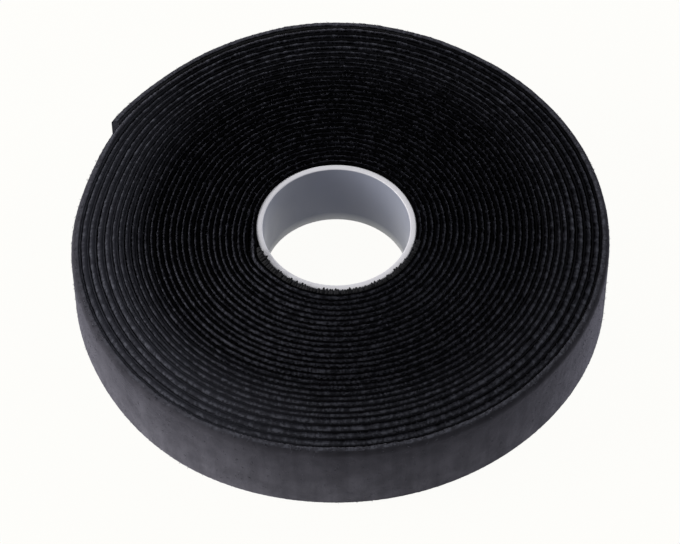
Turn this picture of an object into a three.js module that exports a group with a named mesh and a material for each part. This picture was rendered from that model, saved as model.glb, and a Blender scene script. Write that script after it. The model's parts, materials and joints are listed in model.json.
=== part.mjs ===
// A roll of back-to-back hook and loop tape, wound on a plastic core.
// The roll lies flat: +Z runs along its axis, and the origin is on that axis, on the surface it lies on.
// Lengths are in millimetres. Angles are in degrees from +X, counter-clockwise seen from above.

import * as THREE from 'three';

// Tape: one strip of two bonded layers, hooks facing the core and loop pile facing out
const TAPE_WIDTH = 20;
const HOOK_FILM = 0.4;
const BOND_LINE = 0.1;
const LOOP_PILE = 0.6;
const HOOK_SPACE = 0.62; // left open between one turn's film and the pile or core that its hooks press on
const FILM_INSET = 0.2; // the hook film stops this far short of each edge of the tape

// Core: a plain tube, a little shorter than the tape is wide
const CORE_BORE_RADIUS = 16.6;
const CORE_WALL = 1.5;
const CORE_RECESS = 0.5;
const CORE_CHAMFER = 0.3;
const CORE_SEGMENTS = 88;

// Starter pad: double-sided adhesive that holds the tape's inner end on the core
const STARTER_MARGIN = 3; // from each edge of the tape
const STARTER_ANGLE = 70;
const STARTER_STEPS = 14;
const SEAT_CLEARANCE = 0.15;

// Winding: the tape leaves the core at the start angle and ends, after its loops, at the end angle
const LOOPS = 24;
const START_ANGLE = 208;
const END_ANGLE = 149;
const STEPS_PER_LOOP = 22;
const GAP_POINT_COUNT = 4; // points to a facet, where the gap between turns is measured

// Free tail: the outer end of the tape, in short links that bend on the tape's outer face
const TAIL_LINK_COUNT = 8;
const LINK_ANGLE = 9;
const LINK_STEPS = 2;
const LINK_GAP = 0.3;
const TIP_LIFT = 1.2;
const TIP_LIFT_ANGLE = 24;

// Worked out from the sizes above
const FULL_TURN_ANGLE = 360;
const CORE_RADIUS = CORE_BORE_RADIUS + CORE_WALL;
const PITCH = HOOK_SPACE + HOOK_FILM + BOND_LINE + LOOP_PILE;
const TAPE_ANGLE = LOOPS * FULL_TURN_ANGLE - (START_ANGLE - END_ANGLE);
const WOUND_ANGLE = TAPE_ANGLE - TAIL_LINK_COUNT * LINK_ANGLE;
const WOUND_STEPS = Math.round((WOUND_ANGLE / FULL_TURN_ANGLE) * STEPS_PER_LOOP);
// Facets stand out by this share, so that the middle of each lies on the spiral
const FACET_OUTSET = 1 / Math.cos(Math.PI / STEPS_PER_LOOP);

// The two layers, by how far they stand out from the hook film's inner face
const HOOK_LAYER = { from: 0, to: HOOK_FILM, inset: FILM_INSET };
const LOOP_LAYER = { from: HOOK_FILM + BOND_LINE, to: HOOK_FILM + BOND_LINE + LOOP_PILE, inset: 0 };

const hookMaterial = new THREE.MeshStandardMaterial({ color: 0x141416, roughness: 0.55, metalness: 0 });
const loopMaterial = new THREE.MeshStandardMaterial({ color: 0x1d1d20, roughness: 0.95, metalness: 0 });
const coreMaterial = new THREE.MeshStandardMaterial({ color: 0xd2d1d6, roughness: 0.4, metalness: 0 });
const starterMaterial = new THREE.MeshStandardMaterial({ color: 0xe6e1d2, roughness: 0.5, metalness: 0 });

// Radius of the hook film's inner face, after a sweep from the tape's inner end
function filmRadius(sweep) {
  const spiral = CORE_RADIUS + HOOK_SPACE + (PITCH * sweep) / FULL_TURN_ANGLE;
  const lifted = Math.max(0, sweep - TAPE_ANGLE + TIP_LIFT_ANGLE) / TIP_LIFT_ANGLE;
  return spiral * FACET_OUTSET + TIP_LIFT * lifted ** 2;
}

// The sweep that a short length of tape takes up where the tail is
function sweepOfLength(length) {
  return THREE.MathUtils.radToDeg(length / filmRadius(WOUND_ANGLE));
}

// Evenly spaced sweeps from first to last, both included
function evenSweeps(first, last, steps) {
  return Array.from({ length: steps + 1 }, (unused, i) => first + ((last - first) * i) / steps);
}

// Cross-sections of one layer, one at each sweep
function layerSections(layer, sweeps) {
  return sweeps.map((sweep) => ({
    angle: START_ANGLE + sweep,
    inner: filmRadius(sweep) + layer.from,
    outer: filmRadius(sweep) + layer.to,
    bottom: layer.inset,
    top: TAPE_WIDTH - layer.inset,
  }));
}

// The four corners of a cross-section: inner bottom, outer bottom, outer top, inner top
function sectionCorners(section) {
  const angle = THREE.MathUtils.degToRad(section.angle);
  const at = (radius, z) => new THREE.Vector3(radius * Math.cos(angle), radius * Math.sin(angle), z);
  return [
    at(section.inner, section.bottom),
    at(section.outer, section.bottom),
    at(section.outer, section.top),
    at(section.inner, section.top),
  ];
}

// A closed strip through its cross-sections, which follow each other counter-clockwise
function stripGeometry(sections) {
  const rings = sections.map(sectionCorners);
  const corners = rings[0].length;
  const faces = [];
  for (let i = 0; i + 1 < rings.length; i += 1) {
    for (let k = 0; k < corners; k += 1) {
      const here = i * corners + k;
      const beside = i * corners + ((k + 1) % corners);
      const ahead = here + corners;
      const aheadBeside = beside + corners;
      faces.push(here, aheadBeside, beside);
      faces.push(here, ahead, aheadBeside);
    }
  }
  const last = (rings.length - 1) * corners;
  faces.push(0, 1, 2, 0, 2, 3);
  faces.push(last, last + 2, last + 1, last, last + 3, last + 2);
  const geometry = new THREE.BufferGeometry().setFromPoints(rings.flat());
  geometry.setIndex(faces);
  geometry.computeVertexNormals();
  return geometry;
}

// Points along one corner of a strip's cross-sections, several to a facet
function cornerPoints(sections, corner) {
  const ends = sections.map((section) => sectionCorners(section)[corner]);
  const along = evenSweeps(0, 1, GAP_POINT_COUNT).slice(0, -1);
  return ends.slice(1).flatMap((end, i) => along.map((t) => ends[i].clone().lerp(end, t)));
}

// Least gap between one turn of a wound layer and the next, measured on points
function leastSelfGap(sections) {
  const [inner, outer] = [0, 1].map((corner) => cornerPoints(sections, corner));
  const loop = STEPS_PER_LOOP * GAP_POINT_COUNT;
  const gaps = outer.map((point, i) => {
    const nextTurn = inner.slice(i + loop / 2, i + (3 * loop) / 2);
    return Math.min(...nextTurn.map((other) => point.distanceTo(other)));
  });
  return Math.min(...gaps);
}

function namedMesh(name, geometry, material) {
  const mesh = new THREE.Mesh(geometry, material);
  mesh.name = name;
  return mesh;
}

// The core tube, turned from a rectangle with its four edges broken
function coreMesh() {
  const bottom = CORE_RECESS;
  const top = TAPE_WIDTH - CORE_RECESS;
  const profile = [
    [CORE_BORE_RADIUS + CORE_CHAMFER, bottom],
    [CORE_RADIUS - CORE_CHAMFER, bottom],
    [CORE_RADIUS, bottom + CORE_CHAMFER],
    [CORE_RADIUS, top - CORE_CHAMFER],
    [CORE_RADIUS - CORE_CHAMFER, top],
    [CORE_BORE_RADIUS + CORE_CHAMFER, top],
    [CORE_BORE_RADIUS, top - CORE_CHAMFER],
    [CORE_BORE_RADIUS, bottom + CORE_CHAMFER],
  ].map(([radius, z]) => new THREE.Vector2(radius, z));
  const geometry = new THREE.LatheGeometry([...profile, profile[0]], CORE_SEGMENTS);
  geometry.rotateX(Math.PI / 2);
  return namedMesh('core', geometry, coreMaterial);
}

function starterMesh() {
  const sections = evenSweeps(0, STARTER_ANGLE, STARTER_STEPS).map((sweep) => ({
    angle: START_ANGLE + sweep,
    inner: CORE_RADIUS + SEAT_CLEARANCE,
    outer: CORE_RADIUS + HOOK_SPACE - SEAT_CLEARANCE,
    bottom: STARTER_MARGIN,
    top: TAPE_WIDTH - STARTER_MARGIN,
  }));
  return namedMesh('starter_pad', stripGeometry(sections), starterMaterial);
}

function windingMesh(name, layer, material) {
  const end = WOUND_ANGLE - sweepOfLength(LINK_GAP / 2);
  const sections = layerSections(layer, evenSweeps(0, end, WOUND_STEPS));
  console.log(`${name}: least gap to itself ${leastSelfGap(sections).toFixed(2)} mm`);
  return namedMesh(name, stripGeometry(sections), material);
}

function linkMesh(name, index, layer, material) {
  const halfGap = sweepOfLength(LINK_GAP / 2);
  const first = WOUND_ANGLE + index * LINK_ANGLE + halfGap;
  const tip = index === TAIL_LINK_COUNT - 1;
  const last = WOUND_ANGLE + (index + 1) * LINK_ANGLE - (tip ? 0 : halfGap);
  return namedMesh(name, stripGeometry(layerSections(layer, evenSweeps(first, last, LINK_STEPS))), material);
}

const roll = new THREE.Group();
roll.add(coreMesh());
roll.add(starterMesh());
roll.add(windingMesh('hook_layer_winding', HOOK_LAYER, hookMaterial));
roll.add(windingMesh('loop_layer_winding', LOOP_LAYER, loopMaterial));
for (let i = 0; i < TAIL_LINK_COUNT; i += 1) {
  roll.add(linkMesh(`tail_${i + 1}_hook_layer`, i, HOOK_LAYER, hookMaterial));
  roll.add(linkMesh(`tail_${i + 1}_loop_layer`, i, LOOP_LAYER, loopMaterial));
}

export default roll;
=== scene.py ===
"""Looks of a roll of hook and loop tape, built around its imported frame.

The tape is one long strip of two layers: a film with hooks on its inner side, and a loop pile on its outer
side. A place on it is given as (turn, depth, height): turns from where it has risen off the core, millimetres
in from where the pile's outer face is at the tape's edges, and millimetres above the floor. Angles are in
degrees from +X, counter-clockwise seen from above. Meshes are written in metres.
"""

import json
import math

import bpy
import numpy as np
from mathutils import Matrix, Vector


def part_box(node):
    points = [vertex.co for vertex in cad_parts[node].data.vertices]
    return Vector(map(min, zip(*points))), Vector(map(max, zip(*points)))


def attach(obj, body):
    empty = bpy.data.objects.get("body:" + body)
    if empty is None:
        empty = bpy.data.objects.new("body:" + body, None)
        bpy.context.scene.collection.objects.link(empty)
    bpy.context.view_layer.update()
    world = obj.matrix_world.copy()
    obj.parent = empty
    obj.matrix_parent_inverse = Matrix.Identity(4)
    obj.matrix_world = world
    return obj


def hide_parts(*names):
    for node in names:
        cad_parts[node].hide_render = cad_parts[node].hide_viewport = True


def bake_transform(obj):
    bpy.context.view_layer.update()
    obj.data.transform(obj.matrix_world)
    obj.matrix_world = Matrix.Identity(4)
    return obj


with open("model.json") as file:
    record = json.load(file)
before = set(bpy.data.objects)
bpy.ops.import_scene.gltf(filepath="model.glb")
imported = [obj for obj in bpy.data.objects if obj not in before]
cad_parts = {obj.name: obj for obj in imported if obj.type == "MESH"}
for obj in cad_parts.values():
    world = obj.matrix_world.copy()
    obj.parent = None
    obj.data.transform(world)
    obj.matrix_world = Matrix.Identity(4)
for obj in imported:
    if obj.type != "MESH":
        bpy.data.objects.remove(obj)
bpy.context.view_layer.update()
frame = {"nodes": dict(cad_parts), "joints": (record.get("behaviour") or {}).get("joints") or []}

MM = 0.001
FULL_TURN = 360

# Sizes from the frame, in millimetres
core_low, core_high = (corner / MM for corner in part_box("core"))
tape_low, tape_high = (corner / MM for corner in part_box("loop_layer_winding"))
TAPE_WIDTH = tape_high.z - tape_low.z
HALF_WIDTH = TAPE_WIDTH / 2
CORE_RADIUS = core_high.x
CORE_BORE = min(v.co.to_2d().length for v in frame["nodes"]["core"].data.vertices) / MM
HINGES = [Vector(joint["pos_m"]) for joint in frame["joints"]]
HINGE_ANGLES = [math.degrees(math.atan2(hinge.y, hinge.x)) for hinge in HINGES]

# Core: a tube with round rims, rounder where its bore meets the floor
CORE_ROUNDING = 0.32
BORE_FOOT_ROUNDING = 1.0
ROUNDING_POINTS = 6
CORE_SEGMENTS = 224

# Layers of the tape, where the next turn presses on it
LOOP_PILE = 0.52
BOND_LINE = 0.02
HOOK_FILM = 0.36
HOOK_ROOM = 0.52
PITCH = LOOP_PILE + BOND_LINE + HOOK_FILM + HOOK_ROOM
FILM_DEPTHS = (LOOP_PILE + BOND_LINE, LOOP_PILE + BOND_LINE + HOOK_FILM)  # of its outer and inner faces
FILM_INSET = 0.2  # the film stops this far short of the pile, at each edge
# Pile's outer face from the core: where the tape's inner end lies flat on it, and where hooks stand on it
LYING_FACE = 0.95
STANDING_FACE = 2.17

# The pile's edges are round, and away from them it rises: among the hooks of the turn over it, or freely on
# the outer turn. On the last turns its edges rise too, and are rounder on their outer side.
EDGE_ROUNDING = 0.34
PUFFED_TURNS = 12
PUFFING_TURNS = 6  # over which they get there
PUFFED_ROUNDING = 1.1
EDGE_POINTS = 6
COVERED_SHARE = 0.9  # of the room under the next turn's film
COVERED_MARGIN = 1.5
OPEN_RISE = 1.3
OPEN_MARGIN = 1.5
OPENING_TURNS = 0.03  # past the tape's end, until the pile below it has risen

# Winding: the tape's inner end lies on the core, turns are counted from where it has risen off the core, at
# the start angle, and its free end is at the end angle
INNER_END_ANGLE = -15
START_ANGLE = 208
END_ANGLE = 149
WHOLE_TURNS = 27
TURNS = WHOLE_TURNS + (END_ANGLE - START_ANGLE) % FULL_TURN / FULL_TURN
INNER_END = (INNER_END_ANGLE - START_ANGLE) / FULL_TURN

# The tape rises off the core in one stretch, and each turn climbs over that in a longer one, with a hump that
# fades from turn to turn. The pairs go from the first turn to the last.
RISE_ANGLE = 203
RISE_SPAN = 18
CLIMB_ANGLES = (189, 198)
CLIMB_SPANS = (44, 90)
HUMP_HEIGHT = 0.45 * PITCH
HUMP_SPAN = 10
HUMP_FADE_TURNS = 5

# The outer turns are loose: each of them stands off by this much more than the one before, and the tip lifts
LOOSE_TURNS = 4.5
LOOSE_STEP = 0.38
TIP_LIFT = 0.3
TIP_LIFT_ANGLE = 14

# They are also a little out of round, and flare out towards the floor
ROUND_RADIUS = 60
FLARE = 0.2
# Bulges: (angle, span, height at the tape's top edge, height at its bottom edge)
BULGES = [(40, 30, 0.25, 0.25), (89, 24, 1.3, 1.1), (134, 14, -0.5, -0.5), (164, 16, -1.1, -1.0),
          (186, 18, -0.2, 0.1), (206, 22, -0.3, -0.5), (240, 20, 0.2, 0.3), (338, 22, 0.0, 0.5)]

# Unevenness of the tape: (size, spacing along the tape), or a size alone from point to point
EDGE_SWAY = (0.10, 38)
EDGE_WAVE = (0.08, 4.5)
FACE_SWAY = (0.08, 47)
EDGE_LUMP = 0.13
FACE_LUMP = 0.05
SPARE_KNOTS = 4
# The tape's edge stands up where it has risen off the core
START_RISE_HEIGHT = 0.7
START_RISE_SPAN = 3.0
# Each of the last turns stands lower on one side
SHOULDER_ANGLE = 196
SHOULDER_SPAN = 26
SHOULDER_STEP = 0.34
SHOULDER_TURNS = 5

# Mesh steps
TABLE_STEPS = 60000
TABLE_MARGIN = 0.02
WINDING_STEP = 1.05
OUTER_START = TURNS - 1.22
OUTER_STEP = 0.5
OUTER_ROWS = 42
EDGE_CROWDING = 0.7  # how much closer rows lie near the tape's edges

# Hooks on the film's inner side
HOOK_PITCH = 1.05
HOOK_ROW_PITCH = 1.25
HOOK_EDGE_MARGIN = 0.55
HOOK_HEIGHT = 0.74
HOOK_THICKNESS = 0.28
PRESSED_HOOK_PITCH = 1.4
# Hooks of the first turn, where no tape lies between it and the core: at the tape's edges they are uneven,
# most of them stop short of the core, and some reach a little over its rims
RIM_HOOK_START = -0.015
RIM_HOOK_PITCH = 0.7
RIM_HOOK_SPREAD = 0.42
RIM_HOOK_GAP = 0.26
RIM_HOOK_LEAST = 0.1
RIM_HOOK_MARGIN = 0.05
RIM_HOOK_LIFT = 0.35
RIM_HOOK_THICKNESS = 0.42
# Outlines of a hook, from its foot on the film: (along the tape, away from the film), as shares of its size
OPEN_HOOK = [(-0.34, 0.0), (-0.17, 0.5), (-0.50, 0.62), (-0.30, 0.92), (0.0, 1.0),
             (0.30, 0.92), (0.50, 0.62), (0.17, 0.5), (0.34, 0.0)]
PRESSED_HOOK = [(-0.34, 0.0), (-0.40, 0.6), (0.0, 1.0), (0.40, 0.6), (0.34, 0.0)]
RIM_HOOK = [(-0.50, 0.0), (-0.42, 0.7), (-0.20, 1.0), (0.20, 1.0), (0.42, 0.7), (0.50, 0.0)]

# Loose fibres of the pile: thin spindles
FIBRE_LENGTH = 1.1
FIBRE_THICKNESS = 0.11
FIBRE_SIDES = 3
FIBRE_SPREAD = (0.5, 1.0, 0.6)  # how far they point out, along the tape and up
EDGE_FIBRE_SPACING = 0.7
FACE_FIBRE_SPACING = 2.2

# Seeds of the random draws. Fibres take two each.
EDGE_SWAY_SEED = 11
EDGE_WAVE_SEED = 12
FACE_SWAY_SEED = 13
RIM_HOOK_SEED = 11
WINDING_SEED = 21
OUTER_SEED = 22
WINDING_FIBRE_SEED = 31
OUTER_EDGE_FIBRE_SEED = 41
OUTER_FACE_FIBRE_SEED = 51
TAIL_EDGE_FIBRE_SEED = 61
TAIL_FACE_FIBRE_SEED = 81

# Colours of the pile
NAP_COLOUR = (0.0245, 0.025, 0.032)
# The outer turn's nap is painted paler than the winding's, and paler still from its top down to its foot:
# painted light
OUTER_NAP_TOP = (0.065, 0.063, 0.076)
OUTER_NAP_FOOT = (0.167, 0.162, 0.190)
NAP_SHADE = (0.016, 0.016, 0.020)
NAP_SHADE_SHARE = 0.3
# Painted shade on the pile's round top edges, darkening them where they face up into the light
ROUNDING_PAINTED_SHADE = (0.008, 0.008, 0.009)
ROUNDING_PAINTED_SHADE_SHARE = 0.5
# Pale tips on the corner at the pile's crest are a painted highlight, speckled by fibres
TIGHT_TIPS_HIGHLIGHT = (0.075, 0.076, 0.094)
PUFFED_TIPS_HIGHLIGHT = (0.082, 0.084, 0.102)
CUT_DARK = (0.0005, 0.0005, 0.0007)
CUT_PALE = (0.012, 0.012, 0.016)
SHEEN_TINT = (0.85, 0.83, 1.0)
OUTER_SHEEN = 0.4

# Where those colours lie: none at the first and all at the second of two depths in from the pile's face, or
# of two distances in from the tape's edges
FACE_DEPTHS = (0.30, 0.05)
PUFFED_FACE_DEPTH = 0.13  # by this much deeper on the last turns
CREST_DEPTHS = (-0.6, -0.25)
CORNER_MARGINS = (2.6, 0.8)
ROUNDING_MARGINS = (1.4, 0.4)
CUT_END = 0.5  # the tape's free end is cut over this length
PUFFED_EVENNESS = 0.15  # the tips are less speckled on the last turns

# Painted light on one side of the last turns' edges: how far out it starts there, and where it is strongest
PAINTED_LIGHT_ANGLE = 199
PAINTED_LIGHT_REACH = (18, 60)
PAINTED_LIGHT_COLOUR = (0.035, 0.036, 0.045)

# Colours and gloss of the film
# The film's two darkest colours are painted shade in the narrow gaps of the tight winding; on the last turns
# it is paler
FILM_SHADED_DARK = (0.0003, 0.0003, 0.0004)
FILM_SHADED_WORN = (0.003, 0.003, 0.0035)
FILM_PUFFED = (0.005, 0.005, 0.006)
RIM_HOOK_WORN = (0.045, 0.045, 0.049)
WOUND_GLOSS = 0.005
TAIL_GLOSS = 0.08

# Colours of the core and of the pad under the first turn, in pairs that a fine noise mixes
# The walls' grey is painted shade inside the bore, together with the black tape showing through the plastic
SHADED_WALL_COLOURS = ((0.222, 0.238, 0.308), (0.266, 0.282, 0.354))
RIM_COLOURS = ((0.75, 0.74, 0.79), (0.83, 0.82, 0.86))
# Painted light from the floor on the foot of the walls
FOOT_PAINTED_LIGHT = (0.92, 0.92, 0.90)
FOOT_HEIGHTS = (3.8, 1.3)  # the bore's wall gets paler from the one down to the other
ADHESIVE_COLOURS = ((0.70, 0.66, 0.55), (0.86, 0.82, 0.72))

# Maps for baking: a strip lies in rows, with its end caps in one more row, and many like solids lie in cells
BAKE_MAP = "OFBake"
ROW_SHARE = 0.98  # of a row's height
CAP_PLACES = (0.1, 0.2)
CAP_DROP = 0.4
CAP_RADIUS = 0.03
CELL_RADIUS = 0.4

# Light and floor, in metres
WORLD_COLOUR = (0.97, 0.98, 1.0)
WORLD_STRENGTH = 0.33
BACKGROUND_COLOUR = (1.0, 0.995, 0.97)
FLOOR_COLOUR = (0.8, 0.8, 0.79)
FLOOR_WHITE_SHARE = 0.97  # of what the camera sees, the rest being lit and in shadow
FLOOR_REACH = 4.0
FLOOR_DROP = 0.0001

# Camera, from the photograph: 680 by 544 pixels, with the roll's axis on the floor at one of them
IMAGE_WIDTH = 680
IMAGE_CENTRE = (340, 272)
AXIS_PIXEL = (336.4, 278.4)
FOCAL_PIXELS = 2420
SENSOR_WIDTH = 36
CAMERA_DISTANCE = 0.561
CAMERA_ELEVATION = 52.81


# Path of the tape

def ease(x):
    """Goes smoothly from 0 to 1 as x does."""
    x = np.clip(x, 0, 1)
    return x * x * (3 - 2 * x)


def bell(x):
    """1 at 0, and falling off smoothly on both sides."""
    return np.exp(-x * x / 2)


def angle_past(angle, other):
    """How far an angle lies past another one, from half a turn before it to half a turn after."""
    return (angle - other + FULL_TURN / 2) % FULL_TURN - FULL_TURN / 2


def loose_turns(turn):
    """How many loose turns lie under a place on the tape."""
    return np.maximum(0, turn - (TURNS - LOOSE_TURNS))


def puffed_share(turn):
    """From 0 in the tight winding to 1 on the last turns."""
    return np.clip((turn - (TURNS - PUFFED_TURNS)) / PUFFING_TURNS, 0, 1)


def openness(turn):
    """From 0 where another turn lies over the tape to 1 on the outer turn."""
    return ease((turn - (TURNS - 1)) / OPENING_TURNS)


def pile_face_radius(turn):
    """Radius of the pile's outer face at the tape's edges, before the roll goes out of round."""
    rise = ease((turn * FULL_TURN + START_ANGLE - RISE_ANGLE) / RISE_SPAN + 0.5)
    tip = ease(1 - (TURNS - turn) * FULL_TURN / TIP_LIFT_ANGLE)
    radius = CORE_RADIUS + LYING_FACE + (STANDING_FACE - LYING_FACE) * rise
    radius += LOOSE_STEP * loose_turns(turn) + TIP_LIFT * tip
    for k in range(WHOLE_TURNS + 1):
        hump = HUMP_HEIGHT * math.exp(-k / HUMP_FADE_TURNS)
        radius += hump * bell((turn - k) * FULL_TURN / HUMP_SPAN)
    for k in range(1, WHOLE_TURNS + 1):
        share = k / WHOLE_TURNS
        middle = k + (CLIMB_ANGLES[0] + share * np.ptp(CLIMB_ANGLES) - START_ANGLE) / FULL_TURN
        span = (CLIMB_SPANS[0] + share * np.ptp(CLIMB_SPANS)) / FULL_TURN
        radius += PITCH * ease((turn - middle) / span + 0.5)
    return radius


TABLE_TURNS = np.linspace(INNER_END - TABLE_MARGIN, TURNS + TABLE_MARGIN, TABLE_STEPS)
TABLE_RADII = pile_face_radius(TABLE_TURNS)
TABLE_LENGTHS = np.cumsum(TABLE_RADII) * math.tau * (TABLE_TURNS[1] - TABLE_TURNS[0])
TABLE_LENGTHS -= np.interp(INNER_END, TABLE_TURNS, TABLE_LENGTHS)


def radius_at(turn):
    """Radius of the pile's outer face, from the table."""
    return np.interp(turn, TABLE_TURNS, TABLE_RADII)


def length_at(turn):
    """Length of tape from its inner end to a turn."""
    return np.interp(turn, TABLE_TURNS, TABLE_LENGTHS)


def turn_at(length):
    """The turn at a length of tape from its inner end."""
    return np.interp(length, TABLE_LENGTHS, TABLE_TURNS)


TAPE_LENGTH = float(length_at(TURNS))


def even_turns(first, last, step):
    """Turns of stations that lie evenly along the tape."""
    ends = length_at(np.array([first, last]))
    return turn_at(np.linspace(*ends, int(np.ptp(ends) / step) + 1))


def outer_turn_at(angle):
    """The turn at which the outer turn of tape comes to an angle."""
    return TURNS - (END_ANGLE - angle) / FULL_TURN


def place(turn, depth, height):
    """Points, in metres, of places on the tape."""
    angle = math.tau * (START_ANGLE / FULL_TURN + turn)
    radius = radius_at(turn) - depth
    low = 1 - height / TAPE_WIDTH
    uneven = FLARE * low
    for bulge_angle, span, at_top, at_bottom in BULGES:
        aside = angle_past(np.degrees(angle), bulge_angle)
        uneven = uneven + (at_top + (at_bottom - at_top) * low) * np.exp(-((aside / span) ** 2))
    radius = radius + uneven * (radius / ROUND_RADIUS) ** 2
    points = np.broadcast_arrays(radius * np.cos(angle), radius * np.sin(angle), height)
    return np.stack(points, axis=-1) * MM


def drift(turn, size, spacing, seed):
    """Smooth random values along the tape, up to a size either way, with a knot at each spacing."""
    knots = np.random.RandomState(seed).uniform(-1, 1, int(TAPE_LENGTH / spacing) + SPARE_KNOTS)
    at = np.clip(length_at(turn) / spacing, 0, len(knots) - 2)
    first = at.astype(int)
    share = ease(at - first)
    return size * (knots[first] * (1 - share) + knots[first + 1] * share)


def edge_sway(turn):
    """How far the tape's upper edge stands up or down at a place, as its turns don't lie quite level."""
    slow = drift(turn, *EDGE_SWAY, EDGE_SWAY_SEED)
    quick = drift(turn, *EDGE_WAVE, EDGE_WAVE_SEED)
    risen = START_RISE_HEIGHT * bell((length_at(turn) - length_at(0)) / START_RISE_SPAN)
    aside = angle_past(turn * FULL_TURN + START_ANGLE, SHOULDER_ANGLE)
    sunk = SHOULDER_STEP * np.maximum(0, turn - TURNS + SHOULDER_TURNS) * bell(aside / SHOULDER_SPAN)
    return slow + quick + risen - sunk


def swayed(turn, height):
    """Heights on the tape, with the sway of its upper edge. Its lower half, on the floor, doesn't sway."""
    return height + edge_sway(turn) * np.clip(2 * height / TAPE_WIDTH - 1, 0, 1)


def face_sway(turn):
    """How far a turn stands in or out from its place."""
    return drift(turn, *FACE_SWAY, FACE_SWAY_SEED) * (1 - openness(turn))


def painted_side_light_share(points, length):
    """How much painted light from one side falls at some points of the tape, from 0 to 1."""
    angle = math.radians(PAINTED_LIGHT_ANGLE)
    out = (points[..., 0] * math.cos(angle) + points[..., 1] * math.sin(angle)) / MM
    return puffed_share(turn_at(length)) * np.clip((out - PAINTED_LIGHT_REACH[0]) / np.ptp(PAINTED_LIGHT_REACH), 0, 1)


# Meshes

def finish_mesh(name, points, faces, places, material):
    """A new object from points in metres. Its points keep their places on the tape, as the length from the
    inner end, height and depth in millimetres, and how much painted light falls on them from one side."""
    mesh = bpy.data.meshes.new(name)
    mesh.from_pydata(points.reshape(-1, 3).tolist(), [], faces)
    mesh.update(calc_edges=True)
    mesh.shade_smooth()
    lay = mesh.attributes.new("tape_place", "FLOAT_VECTOR", "POINT")
    lay.data.foreach_set("vector", places.reshape(-1).astype(np.float32))
    painted_side_light = mesh.attributes.new("painted_side_light", "FLOAT", "POINT")
    painted_side_light.data.foreach_set("value", painted_side_light_share(points, places[..., 0]).reshape(-1).astype(np.float32))
    mesh.materials.append(material)
    piece = bpy.data.objects.new(name, mesh)
    bpy.context.scene.collection.objects.link(piece)
    return piece


def add_bake_map(mesh, corners):
    """Adds the map for baking, from a place for each corner of each face."""
    layer = mesh.uv_layers.new(name=BAKE_MAP)
    layer.data.foreach_set("uv", corners.reshape(-1).astype(np.float32))


def sharpen(mesh, face_indices):
    """Marks the edges round some faces as sharp, so that the sides next to them shade on their own."""
    for index in face_indices:
        for loop in mesh.polygons[index].loop_indices:
            mesh.edges[mesh.loops[loop].edge_index].use_edge_sharp = True


def strip_piece(name, points, places, material, slot):
    """A closed strip through rings of points, one ring at each station along the tape."""
    stations, ring = points.shape[:2]
    index = np.arange(stations * ring).reshape(stations, ring)
    ahead = np.roll(index, -1, axis=1)
    quads = np.stack([index[:-1], index[1:], ahead[1:], ahead[:-1]], axis=-1).reshape(-1, 4)
    faces = quads.tolist() + [index[0].tolist(), index[-1][::-1].tolist()]
    piece = finish_mesh(name, points, faces, places, material)
    sharpen(piece.data, [len(faces) - 2, len(faces) - 1])
    bake_rows(piece.data, stations, ring)
    return piece


def bake_rows(mesh, stations, ring):
    """A map for baking that lays the strip out in rows, one under another, and its end caps in a last row."""
    rows = max(1, round(math.sqrt(stations / ring)))
    per_row = math.ceil((stations - 1) / rows)
    station = np.repeat(np.arange(stations - 1), ring)
    around = np.tile(np.arange(ring), stations - 1)
    row = station // per_row
    along = (station % per_row)[:, None] + np.array([0, 1, 1, 0])
    across = around[:, None] + np.array([0, 0, 1, 1])
    u = along / per_row
    v = (row[:, None] + across / ring * ROW_SHARE) / (rows + 1)
    sides = np.stack([u, v], axis=-1).reshape(-1, 2)
    turn = np.linspace(0, math.tau, ring, endpoint=False)
    cap_v = 1 - CAP_DROP / (rows + 1) + CAP_RADIUS * np.sin(turn) / rows
    caps = [np.stack([cap_u + CAP_RADIUS * np.cos(turn), cap_v], axis=-1) for cap_u in CAP_PLACES]
    add_bake_map(mesh, np.concatenate([sides, *caps]))


def repeated_piece(name, points, one, places, material):
    """Many like solids in one piece: each has the same number of points, and the faces of one."""
    count, corners = points.shape[:2]
    faces = [[k + i * corners for k in face] for i in range(count) for face in one]
    piece = finish_mesh(name, points, faces, places, material)
    bake_cells(piece.data, corners)
    return piece


def bake_cells(mesh, corners):
    """A map for baking that gives each of many like solids a cell, with its points on a circle in it."""
    vertex = np.empty(len(mesh.loops), dtype=np.int32)
    mesh.loops.foreach_get("vertex_index", vertex)
    cell, corner = np.divmod(vertex, corners)
    per_side = math.ceil(math.sqrt(cell.max() + 1))
    angle = math.tau * corner / corners
    u = cell % per_side + 0.5 + CELL_RADIUS * np.cos(angle)
    v = cell // per_side + 0.5 + CELL_RADIUS * np.sin(angle)
    add_bake_map(mesh, np.stack([u, v], axis=-1) / per_side)


# Pile

def covered_rise(turn):
    """How far the pile rises among the hooks of the turn over it."""
    room = COVERED_SHARE * (radius_at(turn + 1) - FILM_DEPTHS[1] - radius_at(turn))
    return np.minimum(room, OPEN_RISE) * (1 - openness(turn))


def open_rise(turn, height):
    """How far the outer turn's pile rises, with round edges."""
    from_edge = np.clip(np.minimum(height, TAPE_WIDTH - height) / OPEN_MARGIN, 0, 1)
    return OPEN_RISE * openness(turn) * np.sqrt(1 - (1 - from_edge) ** 2)


def crowded_rows(count):
    """Heights of rows on the pile's face, closer together towards the tape's edges."""
    even = np.linspace(0, 1, count + 2)[1:-1]
    crowded = even - EDGE_CROWDING * np.sin(math.tau * even) / math.tau
    return EDGE_ROUNDING + (TAPE_WIDTH - 2 * EDGE_ROUNDING) * crowded


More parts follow.
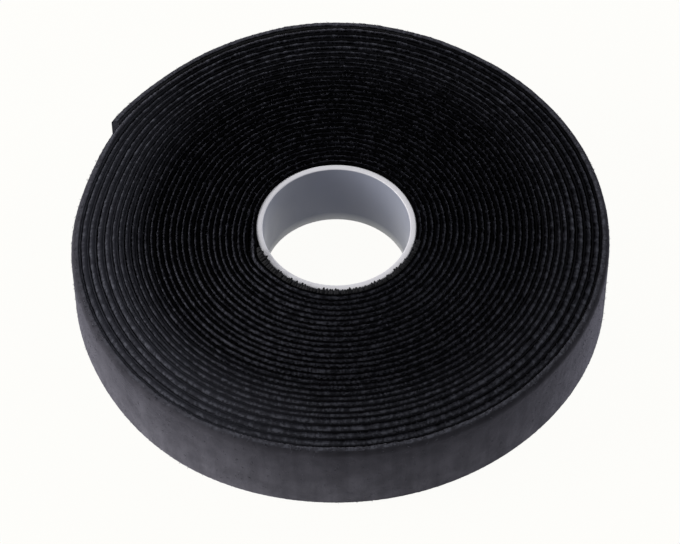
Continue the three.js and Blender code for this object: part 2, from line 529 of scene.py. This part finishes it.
def pile_section(turn, rows):
    """Rings of the pile's cross-section: heights at each turn, depths, and whether a point of the ring is on
    the tape's top edge, 1, its bottom edge, -1, or its face, 0."""
    around = np.linspace(0, math.pi, EDGE_POINTS)
    depth = LOOP_PILE / 2 * (1 - np.cos(around))
    outer_half = around < math.pi / 2
    rounding = EDGE_ROUNDING + PUFFED_ROUNDING * puffed_share(turn) * (1 - openness(turn)) * outer_half
    drop = rounding * (1 - np.sin(around))
    face = np.tile(rows, (len(turn), 1))
    heights = np.concatenate([face, TAPE_WIDTH - drop, drop[:, ::-1]], axis=1)
    depths = np.concatenate([np.zeros_like(rows), depth, depth[::-1]])
    edges = np.concatenate([np.zeros_like(rows), np.ones(EDGE_POINTS), -np.ones(EDGE_POINTS)])
    return heights, depths, edges


def pile_strip(turns, rows, seed):
    """Points of the loop pile and their places on the tape, for rings at some turns."""
    turn = turns[:, None]
    heights, depths, edges = pile_section(turn, rows)
    random = np.random.RandomState(seed)
    shape = heights.shape
    at_edge = np.abs(edges)
    lump = random.uniform(-1, 1, shape)
    lump = (lump + np.roll(lump, 1, axis=1)) / 2
    outward = 1 - depths / LOOP_PILE
    inward = depths - FACE_LUMP * lump * (1 + at_edge) - open_rise(turn, heights) * outward
    lift = np.where(edges == 0, 1, puffed_share(turn) * outward)
    depth = inward - face_sway(turn) - covered_rise(turn) * lift
    height = swayed(turn, heights) + EDGE_LUMP * random.uniform(-1, 1, shape) * at_edge
    height = np.maximum(height, 0)
    points = place(turn, depth, height)
    places = np.stack(np.broadcast_arrays(length_at(turn), height, inward), axis=-1)
    return points, places


def fibre_faces():
    """Faces of one fibre: its two tips are the first points, and the ring round its middle follows."""
    faces = []
    for k in range(FIBRE_SIDES):
        here = 2 + k
        beside = 2 + (k + 1) % FIBRE_SIDES
        faces += [(here, beside, 1), (beside, here, 0)]
    return faces


def fibre_piece(name, turns, depths, heights, material, seed):
    """Loose fibres of the pile, each with its middle at one place."""
    random = np.random.RandomState(seed)
    shape = (len(turns), 1, 3)
    along = random.normal(size=shape) * FIBRE_SPREAD
    along /= np.linalg.norm(along, axis=-1, keepdims=True)
    side = np.cross(along, random.normal(size=shape))
    side /= np.linalg.norm(side, axis=-1, keepdims=True)
    around = math.tau / FIBRE_SIDES * np.arange(FIBRE_SIDES)[:, None]
    ring = FIBRE_THICKNESS / 2 * (np.cos(around) * side + np.sin(around) * np.cross(along, side))
    tips = FIBRE_LENGTH / 2 * np.array([[-1], [1]]) * along
    out, ahead, up = np.moveaxis(np.concatenate([tips, ring], axis=1), -1, 0)
    turn = turn_at(length_at(turns[:, None]) + ahead)
    height = np.maximum(heights[:, None] + up, 0)
    points = place(turn, depths[:, None] - out, height)
    places = np.stack(np.broadcast_arrays(length_at(turn), height, 0), axis=-1)
    return repeated_piece(name, points, fibre_faces(), places, material)


def edge_fibres(name, first, last, material, seed):
    """Fibres along both edges of a stretch of the pile."""
    random = np.random.RandomState(seed)
    length = length_at(np.array([first, last]))
    count = int(np.ptp(length) / EDGE_FIBRE_SPACING)
    turns = turn_at(random.uniform(*length, 2 * count))
    drop = EDGE_ROUNDING / 2 * random.uniform(0, 1, 2 * count)
    top = np.arange(2 * count) < count
    heights = swayed(turns, np.where(top, TAPE_WIDTH - drop, drop))
    depths = -face_sway(turns) - open_rise(turns, drop) + LOOP_PILE / 4 * random.uniform(-1, 1, 2 * count)
    return fibre_piece(name, turns, depths, heights, material, seed + 1)


def face_fibres(name, first, last, material, seed):
    """Fibres over the face of a stretch of the outer turn's pile."""
    random = np.random.RandomState(seed)
    length = length_at(np.array([first, last]))
    count = int(np.ptp(length) * TAPE_WIDTH / FACE_FIBRE_SPACING ** 2)
    turns = turn_at(random.uniform(*length, count))
    heights = random.uniform(0, TAPE_WIDTH, count)
    return fibre_piece(name, turns, -open_rise(turns, heights), heights, material, seed + 1)


# Film and hooks

def film_strip(turns):
    """Points of the hook film and their places on the tape, for rings at some turns."""
    turn = turns[:, None]
    depth = np.repeat(FILM_DEPTHS, 2) - face_sway(turn)
    heights = np.array([FILM_INSET, TAPE_WIDTH - FILM_INSET, TAPE_WIDTH - FILM_INSET, FILM_INSET])
    height = swayed(turn, heights)
    points = place(turn, depth, height)
    places = np.stack(np.broadcast_arrays(length_at(turn), height, depth), axis=-1)
    return points, places


def hook_faces(corners):
    """Faces of one hook, whose outline has some corners on its front and as many on its back."""
    front = list(range(corners))
    back = [k + corners for k in reversed(front)]
    sides = [[(k + 1) % corners, k, k + corners, (k + 1) % corners + corners] for k in front]
    return [front, back, *sides]


def hook_piece(name, turns, heights, outline, material,
               reach=HOOK_HEIGHT, thickness=HOOK_THICKNESS, lift=0.0):
    """Hooks on the film's inner side, one at each pair of a turn and a height. In the tape's upper half their
    tips rise by a lift."""
    corners = len(outline)
    along, out = np.tile(np.transpose(outline), 2)
    across = np.repeat([thickness / 2, -thickness / 2], corners)
    turn = turns[:, None]
    at = turn_at(length_at(turn) + along * HOOK_HEIGHT)
    depth = FILM_DEPTHS[1] + out * np.reshape(reach, (-1, 1)) - face_sway(turn)
    upper = heights[:, None] > HALF_WIDTH
    height = swayed(turn, heights[:, None]) + across + lift * out * upper
    points = place(at, depth, height)
    places = np.stack(np.broadcast_arrays(length_at(at), height, depth), axis=-1)
    return repeated_piece(name, points, hook_faces(corners), places, material)


def hook_grid(first, last, rows, pitch):
    """Turns and heights of hooks that stand in rows along a stretch of tape."""
    turns = even_turns(first, last, pitch)
    return np.repeat(turns, len(rows)), np.tile(rows, len(turns))


# Materials

def opaque(colour):
    """A colour with its alpha."""
    return (*colour, 1)


def add_node(tree, kind, inputs=None, **settings):
    """A new shader node, each of whose inputs is a value or is linked to another node's output."""
    node = tree.nodes.new("ShaderNode" + kind)
    for key, value in settings.items():
        setattr(node, key, value)
    for socket, value in (inputs or {}).items():
        if isinstance(value, bpy.types.NodeSocket):
            tree.links.new(value, node.inputs[socket])
        else:
            node.inputs[socket].default_value = value
    return node


class Shading:
    """A material with a Principled shader, and short ways to add nodes to it."""

    def __init__(self, name, **sockets):
        self.material = bpy.data.materials.new(name)
        self.material.use_nodes = True
        self.tree = self.material.node_tree
        self.shader = self.tree.nodes["Principled BSDF"]
        for socket, value in sockets.items():
            self.shader.inputs[socket.replace("_", " ")].default_value = value

    def add(self, kind, inputs=None, **settings):
        return add_node(self.tree, kind, inputs, **settings)

    def feed(self, socket, output):
        """Links an output to the shader."""
        self.tree.links.new(output, self.shader.inputs[socket])

    def tape_place(self, scale=(1, 1, 1)):
        """The tape's own coordinates, in millimetres, stretched by a scale."""
        lay = self.add("Attribute", attribute_name="tape_place")
        return self.add("Mapping", {"Vector": lay.outputs["Vector"], "Scale": scale}).outputs["Vector"]

    def object_place(self):
        """The object's coordinates, in metres."""
        return self.add("TexCoord").outputs["Object"]

    def parts(self, vector):
        """The three parts of a vector."""
        split = self.add("SeparateXYZ", {0: vector})
        return [split.outputs[axis] for axis in "XYZ"]

    def noise(self, vector, scale=1.0, detail=2.0, roughness=0.5):
        inputs = {"Vector": vector, "Scale": scale, "Detail": detail, "Roughness": roughness}
        return self.add("TexNoise", inputs).outputs["Fac"]

    def ramp(self, factor, low, high):
        """Stretches a factor so that low becomes 0 and high becomes 1."""
        inputs = {"Value": factor, "From Min": low, "From Max": high}
        return self.add("MapRange", inputs).outputs["Result"]

    def math(self, operation, a, b=0.0):
        return self.add("Math", {0: a, 1: b}, operation=operation).outputs[0]

    def product(self, first, *others):
        for other in others:
            first = self.math("MULTIPLY", first, other)
        return first

    def mix(self, factor, a, b):
        """Goes from the colour a to the colour b, each of them a plain one or an output."""
        a, b = (opaque(colour) if isinstance(colour, tuple) else colour for colour in (a, b))
        return self.add("Mix", {0: factor, 6: a, 7: b}, data_type="RGBA").outputs[2]

    def puffed(self, length):
        """How puffed the pile is at a length along the tape, from 0 to 1."""
        first = TURNS - PUFFED_TURNS
        ends = length_at(np.array([first, first + PUFFING_TURNS]))
        return self.ramp(length, *ends.tolist())

    def painted_side_light(self):
        """How much painted light from one side falls on the tape's edges, from 0 to 1."""
        return self.add("Attribute", attribute_name="painted_side_light").outputs["Fac"]

    def bump(self, height, strength, distance):
        """Bumps from a height, over a distance in metres."""
        inputs = {"Height": height, "Strength": strength, "Distance": distance}
        self.feed("Normal", self.add("Bump", inputs).outputs["Normal"])


def nap_colour(shading, lay, height, nap_top, nap_foot):
    """Colour of the pile's face, with streaks and patches. From the tape's top edge to its bottom edge it
    goes
    from nap_top to nap_foot: on the outer turn, painted light that grows towards the floor.
    """
    nap = shading.mix(shading.ramp(height, low=TAPE_WIDTH, high=0.0), nap_top, nap_foot)
    across = shading.tape_place(scale=(0.45, 0.03, 0.2))
    streaks = shading.ramp(shading.noise(across, detail=3.0), low=0.3, high=0.7)
    patches = shading.ramp(shading.noise(lay, scale=0.25, detail=3.0), low=0.35, high=0.65)
    for shade in (streaks, patches):
        nap = shading.mix(shading.product(shade, NAP_SHADE_SHARE), nap, NAP_SHADE)
    return nap


def pile_material(name, nap_top, nap_foot, sheen):
    """Black napped pile: soft on its face, nearly black where it is cut at the tape's edges, and with pale
    tips on the corner between them, a painted highlight. Painted shade darkens its round edges, and
    painted light from one side makes the last turns' edges paler."""
    shading = Shading(name, Roughness=1.0, Specular_IOR_Level=0.0, Sheen_Weight=sheen, Sheen_Roughness=0.3,
                      Sheen_Tint=opaque(SHEEN_TINT))
    lay = shading.tape_place()
    length, height, depth = shading.parts(lay)
    puffed = shading.puffed(length)
    painted_side_light = shading.painted_side_light()

    # Where the face, its crest, the corner and its rounding lie
    face_depth = shading.math("SUBTRACT", depth, shading.product(puffed, PUFFED_FACE_DEPTH))
    face = shading.ramp(face_depth, *FACE_DEPTHS)
    face = shading.product(face, shading.ramp(length, low=TAPE_LENGTH, high=TAPE_LENGTH - CUT_END))
    crest = shading.product(face, shading.ramp(depth, *CREST_DEPTHS))
    from_middle = shading.math("ABSOLUTE", shading.math("SUBTRACT", height, HALF_WIDTH))
    corner = shading.ramp(from_middle, *(HALF_WIDTH - margin for margin in CORNER_MARGINS))
    rounding = shading.ramp(from_middle, *(HALF_WIDTH - margin for margin in ROUNDING_MARGINS))

    # Fibres in tufts
    fibres = shading.ramp(shading.noise(lay, scale=1.5, detail=3.0, roughness=0.6), low=0.42, high=0.60)
    tufts = shading.ramp(shading.noise(lay, scale=0.55), low=0.34, high=0.58)
    tufted = shading.product(fibres, tufts)
    speckle = shading.ramp(tufted, low=shading.product(puffed, -PUFFED_EVENNESS), high=0.8)

    nap = nap_colour(shading, lay, height, nap_top, nap_foot)
    # Painted shade on the round edges, left off where painted light from one side falls
    painted_shade = shading.product(rounding, ROUNDING_PAINTED_SHADE_SHARE, shading.ramp(painted_side_light, low=1.0, high=0.0))
    nap = shading.mix(painted_shade, nap, ROUNDING_PAINTED_SHADE)
    # A painted highlight on the tips along the crest of the corner
    tips = shading.mix(puffed, TIGHT_TIPS_HIGHLIGHT, PUFFED_TIPS_HIGHLIGHT)
    highlighted = shading.mix(shading.product(corner, crest, speckle), nap, tips)
    # Painted light from one side makes the last turns' cut edges paler
    cut = shading.mix(painted_side_light, shading.mix(tufted, CUT_DARK, CUT_PALE), PAINTED_LIGHT_COLOUR)
    shading.feed("Base Color", shading.mix(face, cut, highlighted))
    fine = shading.noise(lay, scale=4.0, detail=3.0, roughness=0.7)
    shading.bump(fine, strength=0.6, distance=0.00012)
    return shading.material


def film_material(name, gloss, worn_colour=FILM_SHADED_WORN):
    """Black moulded film, with fine lines along the tape. Painted shade darkens it in the narrow gaps of the
    tight winding, less so on the last turns, and painted light from one side makes their edges paler.
    """
    shading = Shading(name, Specular_IOR_Level=gloss)
    lay = shading.tape_place()
    length = shading.parts(lay)[0]
    worn = shading.noise(lay, scale=0.6, detail=3.0)
    film = shading.mix(worn, FILM_SHADED_DARK, worn_colour)
    # Painted shade in the tight winding, less of it on the last turns
    film = shading.mix(shading.puffed(length), film, FILM_PUFFED)
    shading.feed("Base Color", shading.mix(shading.painted_side_light(), film, PAINTED_LIGHT_COLOUR))
    shading.feed("Roughness", shading.ramp(worn, low=-1.0, high=1.1))
    lines = shading.noise(shading.tape_place(scale=(0.05, 5.0, 5.0)))
    shading.bump(lines, strength=0.3, distance=0.00005)
    return shading.material


def core_material():
    """Pale plastic that lets some light in: its upright walls are painted greyer than its rims, as painted
    shade inside the bore and for the black tape behind them, and painted light from the floor makes them
    paler at the foot."""
    shading = Shading("core_plastic", Specular_IOR_Level=0.4, Coat_Weight=0.05)
    where = shading.object_place()
    # Painted shade: the upright walls get greyer colours than the rims, which face up
    up = shading.parts(shading.add("NewGeometry").outputs["Normal"])[2]
    rim = shading.ramp(shading.math("ABSOLUTE", up), low=0.25, high=0.8)
    # Painted light from the floor, paler towards the foot
    painted_foot_light = shading.ramp(shading.parts(where)[2], *(height * MM for height in FOOT_HEIGHTS))
    cloudy = shading.noise(where, scale=180.0, detail=3.0)
    wall = shading.mix(painted_foot_light, shading.mix(cloudy, *SHADED_WALL_COLOURS), FOOT_PAINTED_LIGHT)
    shading.feed("Base Color", shading.mix(rim, wall, shading.mix(cloudy, *RIM_COLOURS)))
    shading.feed("Roughness", shading.ramp(cloudy, low=-0.6, high=2.2))
    shading.bump(shading.noise(where, scale=1400.0), strength=0.1, distance=0.00005)
    return shading.material


def adhesive_material():
    """Pale adhesive with a fine grain."""
    shading = Shading("starter_adhesive", Roughness=0.5)
    grain = shading.noise(shading.object_place(), scale=900.0, detail=3.0)
    shading.feed("Base Color", shading.mix(grain, *ADHESIVE_COLOURS))
    shading.bump(grain, strength=0.3, distance=0.00005)
    return shading.material


# Pieces

def core_profile():
    """Cross-section of the core, counter-clockwise: (radius, height) along four rounded corners."""
    # Corners: radius, height, rounding, and which way the middle of the rounding lies
    corners = [(CORE_RADIUS, core_low.z, CORE_ROUNDING, -1, 1),
               (CORE_RADIUS, core_high.z, CORE_ROUNDING, -1, -1),
               (CORE_BORE, core_high.z, CORE_ROUNDING, 1, -1),
               (CORE_BORE, core_low.z, BORE_FOOT_ROUNDING, 1, 1)]
    points = []
    for k, (radius, height, rounding, outward, upward) in enumerate(corners):
        middle = (radius + outward * rounding, height + upward * rounding)
        for angle in np.radians(np.linspace(0, 90, ROUNDING_POINTS) + 90 * (k - 1)):
            points.append((middle[0] + rounding * math.cos(angle), middle[1] + rounding * math.sin(angle)))
    return np.array(points)


def core_tube(material):
    """The core: a plain tube with rounded rims."""
    radius, height = core_profile().T
    angle = np.linspace(0, math.tau, CORE_SEGMENTS, endpoint=False)[:, None]
    rings = np.broadcast_arrays(radius * np.cos(angle), radius * np.sin(angle), height)
    points = np.stack(rings, axis=-1) * MM
    index = np.arange(angle.size * radius.size).reshape(angle.size, radius.size)
    beside = np.roll(index, -1, axis=1)
    quads = [index, np.roll(index, -1, axis=0), np.roll(beside, -1, axis=0), beside]
    faces = np.stack(quads, axis=-1).reshape(-1, 4).tolist()
    piece = finish_mesh("core_tube", points, faces, points / MM, material)
    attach(piece, "roll")
    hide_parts("core")
    return piece


def rim_hooks(film):
    """Hooks of the first turn, where it stands on the core: at its edges, and half-way between, where all of
    them reach the core."""
    random = np.random.RandomState(RIM_HOOK_SEED)
    margin = FILM_INSET + RIM_HOOK_MARGIN
    rows = [margin, HALF_WIDTH, TAPE_WIDTH - margin]
    turns, heights = hook_grid(RIM_HOOK_START, 1 + INNER_END, rows, RIM_HOOK_PITCH)
    turns = turn_at(length_at(turns) + RIM_HOOK_PITCH / 3 * random.uniform(-1, 1, len(turns)))
    room = pile_face_radius(turns) - FILM_DEPTHS[1] - CORE_RADIUS
    uneven = RIM_HOOK_SPREAD * random.uniform(-1, 1, len(turns)) - RIM_HOOK_GAP
    reach = np.maximum(room + uneven * (heights != HALF_WIDTH), RIM_HOOK_LEAST)
    return hook_piece("rim_hooks", turns, heights, RIM_HOOK, film, reach, RIM_HOOK_THICKNESS, RIM_HOOK_LIFT)


def wound_tape(pile, film, rim_film):
    """The tape's wound length, which rides on the roll."""
    tail_turn = outer_turn_at(tail_ends()[0])
    rows = np.array([COVERED_MARGIN, TAPE_WIDTH - COVERED_MARGIN])
    winding_turns = even_turns(INNER_END, OUTER_START, WINDING_STEP)
    rings = pile_strip(winding_turns, rows, WINDING_SEED)
    winding = strip_piece("loop_pile_winding", *rings, pile, "loop_pile")
    fibres = edge_fibres("winding_fibres", INNER_END, OUTER_START, pile, WINDING_FIBRE_SEED)
    backing_turns = even_turns(INNER_END, tail_turn, WINDING_STEP)
    backing = strip_piece("hook_film_winding", *film_strip(backing_turns), film, "hook_film")
    margin = FILM_INSET + HOOK_EDGE_MARGIN
    grid = hook_grid(1 + INNER_END, tail_turn, [margin, TAPE_WIDTH - margin], PRESSED_HOOK_PITCH)
    hooks = hook_piece("edge_hooks", *grid, PRESSED_HOOK, film)
    rim = rim_hooks(rim_film)
    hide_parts("loop_layer_winding")
    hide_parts("hook_layer_winding")
    for piece in (winding, fibres, backing, hooks, rim):
        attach(piece, "roll")
    return winding, [fibres, backing, hooks, rim]


def tail_ends():
    """Angles where the tail's pieces meet: half-way between hinges, and the tape's end."""
    half = (HINGE_ANGLES[1] - HINGE_ANGLES[0]) / 2
    return [HINGE_ANGLES[0] - half, *(angle + half for angle in HINGE_ANGLES[:-1]), END_ANGLE]


def outer_stretch(last, pile_rings, pile):
    """The outer turn's pile up to the turn where the tail begins, which rides on the roll."""
    outer = strip_piece("loop_pile_outer", *pile_rings, pile, "loop_pile")
    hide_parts("loop_layer_winding")
    edge = edge_fibres("outer_edge_fibres", OUTER_START, last, pile, OUTER_EDGE_FIBRE_SEED)
    fuzz = face_fibres("outer_face_fibres", TURNS - 1, last, pile, OUTER_FACE_FIBRE_SEED)
    made = [outer, edge, fuzz]
    for piece in made:
        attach(piece, "roll")
    return made


def tail_link(k, turns, pile_rings, film_rings, pile, film):
    """One link of the tail, with both layers, which lies across a hinge."""
    name = f"tail_{k + 1}"
    loop = strip_piece(f"{name}_loop", *pile_rings, pile, "loop_pile")
    edge = edge_fibres(f"{name}_edge_fibres", turns[0], turns[-1], pile, TAIL_EDGE_FIBRE_SEED + 2 * k)
    fuzz = face_fibres(f"{name}_face_fibres", turns[0], turns[-1], pile, TAIL_FACE_FIBRE_SEED + 2 * k)
    back = strip_piece(f"{name}_film", *film_rings, film, "hook_film")
    inset = turn_at(length_at(turns[[0, -1]]) + HOOK_PITCH / 2 * np.array([1, -1]))
    rows = np.arange(FILM_INSET + HOOK_EDGE_MARGIN, TAPE_WIDTH - FILM_INSET, HOOK_ROW_PITCH)
    hooks = hook_piece(f"{name}_hooks", *hook_grid(*inset, rows, HOOK_PITCH), OPEN_HOOK, film)
    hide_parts(f"{name}_loop_layer")
    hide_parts(f"{name}_hook_layer")
    bend_from, bend_to = (place(outer_turn_at(angle), 0, 0) for angle in tail_ends()[k:k + 2])
    made = [loop, edge, fuzz, back, hooks]
    for piece in made:
        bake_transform(piece)
    return made


def outer_turn(pile, film):
    """The outer turn's pile, and the free tail in its links."""
    turns = even_turns(OUTER_START, TURNS, OUTER_STEP)
    pile_rings = pile_strip(turns, crowded_rows(OUTER_ROWS), OUTER_SEED)
    film_rings = film_strip(turns)
    ends = [int(np.argmin(np.abs(turns - outer_turn_at(angle)))) for angle in tail_ends()]
    made = outer_stretch(turns[ends[0]], [rings[:ends[0] + 1] for rings in pile_rings], pile)
    for k, (first, last) in enumerate(zip(ends, ends[1:])):
        part = slice(first, last + 1)
        link_pile = [rings[part] for rings in pile_rings]
        link_film = [rings[part] for rings in film_rings]
        made += tail_link(k, turns[part], link_pile, link_film, pile, film)
    return made


# Scene around the object

def seen_white(tree):
    """1 for what the camera sees, straight or in a reflection or through glass, and 0 for light on the
    object."""
    path = add_node(tree, "LightPath")
    seen = path.outputs["Is Camera Ray"]
    for name in ("Is Glossy Ray", "Is Transmission Ray"):
        seen = add_node(tree, "Math", {0: seen, 1: path.outputs[name]}, operation="MAXIMUM").outputs[0]
    return seen


def floor_material():
    """A pale matte floor, most of which the camera sees as white."""
    material = bpy.data.materials.new("floor")
    material.use_nodes = True
    tree = material.node_tree
    tree.nodes.clear()
    matte = add_node(tree, "BsdfDiffuse", {"Color": opaque(FLOOR_COLOUR)})
    white = add_node(tree, "Emission", {"Color": opaque(BACKGROUND_COLOUR)})
    share = add_node(tree, "Math", {0: seen_white(tree), 1: FLOOR_WHITE_SHARE}, operation="MULTIPLY")
    blend = add_node(tree, "MixShader", {0: share.outputs[0], 1: matte.outputs[0], 2: white.outputs[0]})
    add_node(tree, "OutputMaterial", {"Surface": blend.outputs[0]})
    return material


def add_floor():
    """One large face just under the object."""
    signs = ((-1, -1), (1, -1), (1, 1), (-1, 1))
    corners = [(x * FLOOR_REACH, y * FLOOR_REACH, -FLOOR_DROP) for x, y in signs]
    mesh = bpy.data.meshes.new("floor")
    mesh.from_pydata(corners, [], [(0, 1, 2, 3)])
    mesh.materials.append(floor_material())
    floor = bpy.data.objects.new("floor", mesh)
    bpy.context.scene.collection.objects.link(floor)


def add_world():
    """Even light from all sides, which the camera sees as a white background."""
    world = bpy.data.worlds.new("studio")
    bpy.context.scene.world = world
    world.use_nodes = True
    tree = world.node_tree
    tree.nodes.clear()
    light = add_node(tree, "Background", {"Color": opaque(WORLD_COLOUR), "Strength": WORLD_STRENGTH})
    white = add_node(tree, "Background", {"Color": opaque(BACKGROUND_COLOUR)})
    blend = add_node(tree, "MixShader", {0: seen_white(tree), 1: light.outputs[0], 2: white.outputs[0]})
    add_node(tree, "OutputWorld", {"Surface": blend.outputs[0]})


def add_lamp(name, location, size, power, colour):
    """A square lamp that points at the origin."""
    lamp = bpy.data.lights.new(name, "AREA")
    lamp.size = size
    lamp.energy = power
    lamp.color = colour
    holder = bpy.data.objects.new(name, lamp)
    holder.location = location
    holder.rotation_mode = "QUATERNION"
    holder.rotation_quaternion = (-Vector(location)).to_track_quat("-Z", "Y")
    bpy.context.scene.collection.objects.link(holder)


def add_camera():
    """The photograph's camera, which points at the origin and is shifted to put it on its pixel."""
    elevation = math.radians(CAMERA_ELEVATION)
    back = Vector((0, -math.cos(elevation), math.sin(elevation)))
    camera = bpy.data.cameras.new("camera")
    camera.sensor_width = SENSOR_WIDTH
    camera.lens = FOCAL_PIXELS / IMAGE_WIDTH * SENSOR_WIDTH
    camera.shift_x = (IMAGE_CENTRE[0] - AXIS_PIXEL[0]) / IMAGE_WIDTH
    camera.shift_y = (AXIS_PIXEL[1] - IMAGE_CENTRE[1]) / IMAGE_WIDTH
    holder = bpy.data.objects.new("camera", camera)
    holder.location = back * CAMERA_DISTANCE
    holder.rotation_mode = "QUATERNION"
    holder.rotation_quaternion = (-back).to_track_quat("-Z", "Y")
    bpy.context.scene.collection.objects.link(holder)
    bpy.context.scene.camera = holder


bpy.context.scene.view_settings.view_transform = "Standard"
add_camera()
add_world()
add_floor()
add_lamp("key", location=(-0.96, -0.07, 0.36), size=0.7, power=11.0, colour=(1.0, 0.99, 0.97))
add_lamp("fill", location=(0.76, 0.58, 0.38), size=0.8, power=5.0, colour=(0.96, 0.97, 1.0))

core_tube(core_material())
winding, others = wound_tape(
    pile=pile_material("loop_pile", nap_top=NAP_COLOUR, nap_foot=NAP_COLOUR, sheen=0.0),
    film=film_material("hook_film_edge", WOUND_GLOSS),
    rim_film=film_material("hook_film_rim", WOUND_GLOSS, RIM_HOOK_WORN))
tail = outer_turn(
    pile=pile_material("loop_pile_outer", nap_top=OUTER_NAP_TOP, nap_foot=OUTER_NAP_FOOT, sheen=OUTER_SHEEN),
    film=film_material("hook_film", TAIL_GLOSS))
frame["nodes"]["starter_pad"].data.materials[0] = adhesive_material()
